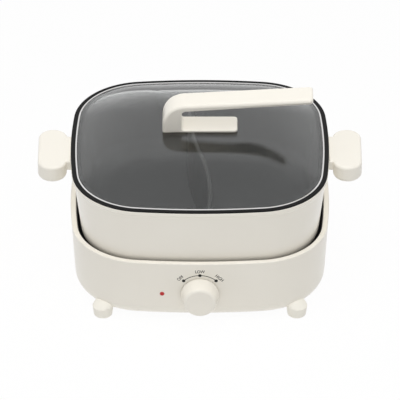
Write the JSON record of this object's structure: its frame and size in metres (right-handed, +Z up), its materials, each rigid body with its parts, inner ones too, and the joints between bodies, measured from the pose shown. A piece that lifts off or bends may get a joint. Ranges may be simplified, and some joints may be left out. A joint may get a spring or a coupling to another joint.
{
  "type": "divided hot pot",
  "caption": "Electric hot pot: rounded-square heating base with a dial, lift-off pot split by an S-shaped divider, and a loose glass lid with an open-ended bar handle.",
  "frame": {"origin": "on the table, in the plane of the foot pads, under the middle of the pot", "axes": "+X to the right seen from the front, +Y to the back, +Z up"},
  "size_m": [0.3624, 0.2889, 0.2235],
  "materials": {
    "cream_shell": "gloss",
    "cream_coat": "gloss enamel",
    "black_tray": "satin",
    "black_coat": "non-stick satin",
    "cover_plastic": "matte",
    "foot_plastic": "matte",
    "pad_rubber": "matte",
    "seal_rubber": "satin",
    "cast_aluminium": "satin",
    "sheet_steel": "satin",
    "bright_steel": "polished",
    "screw_steel": "zinc",
    "dark_plastic": "matte",
    "red_lens": "gloss",
    "lamp_glass": "clear",
    "pin_brass": "plain",
    "fuse_sleeve": "matte",
    "brown_lead": "matte",
    "blue_lead": "matte",
    "green_lead": "matte",
    "lid_pane": "clear"
  },
  "bodies": {
    "base": {"base_shell": "cream_shell", "bottom_cover": "cover_plastic", "cover_screws": "screw_steel", "foot_front_left": "foot_plastic", "foot_front_right": "foot_plastic", "foot_rear_left": "foot_plastic", "foot_rear_right": "foot_plastic", "foot_pads": "pad_rubber", "well_liner": "black_tray", "heating_plate": "cast_aluminium", "heating_element": "sheet_steel", "heat_shield": "sheet_steel", "liner_screws": "screw_steel", "plate_pillars": "screw_steel", "plate_screws": "screw_steel", "sensor_housing": "sheet_steel", "sensor_spring": "screw_steel", "thermostat_bracket": "sheet_steel", "thermostat_screws": "screw_steel", "thermostat_body": "dark_plastic", "indicator_lens": "red_lens", "lamp_holder": "dark_plastic", "indicator_lamp": "lamp_glass", "inlet_housing": "dark_plastic", "inlet_pins": "pin_brass", "inlet_screws": "screw_steel", "thermal_fuse": "fuse_sleeve", "lead_live_in": "brown_lead", "lead_live_out": "brown_lead", "lead_switched": "brown_lead", "lead_neutral": "blue_lead", "lead_earth": "green_lead"},
    "knob": {"knob": "cream_shell", "knob_shaft": "screw_steel"},
    "sensor": {"sensor_cap": "cast_aluminium"},
    "pot": {"pot_body": "cream_coat", "pot_divider": "black_coat", "side_grip_right": "cream_shell", "side_grip_left": "cream_shell", "grip_screws": "screw_steel"},
    "lid": {"lid_seal": "seal_rubber", "lid_rim": "bright_steel", "lid_glass": "lid_pane", "lid_handle": "cream_shell", "handle_washers": "seal_rubber", "handle_screws": "screw_steel"}
  },
  "joints": [
    {"name": "knob_turn", "type": "hinge", "parent": "base", "child": "knob", "pos_m": [0, -0.13493, 0.0436], "axis": [0, 1, 0], "range_deg": [0, 90]},
    {"name": "sensor_press", "type": "slide", "parent": "base", "child": "sensor", "axis": [0, 0, 1], "range_m": [-0.0025, 0], "stiffness_N_per_m": 300, "springref_m": 0.003, "deforming": ["sensor_spring"]},
    {"name": "pot_lift", "type": "slide", "parent": "base", "child": "pot", "axis": [0, 0, 1], "range_m": [0, 0.15]},
    {"name": "lid_lift", "type": "slide", "parent": "pot", "child": "lid", "axis": [0, 0, 1], "range_m": [0, 0.15]}
  ]
}
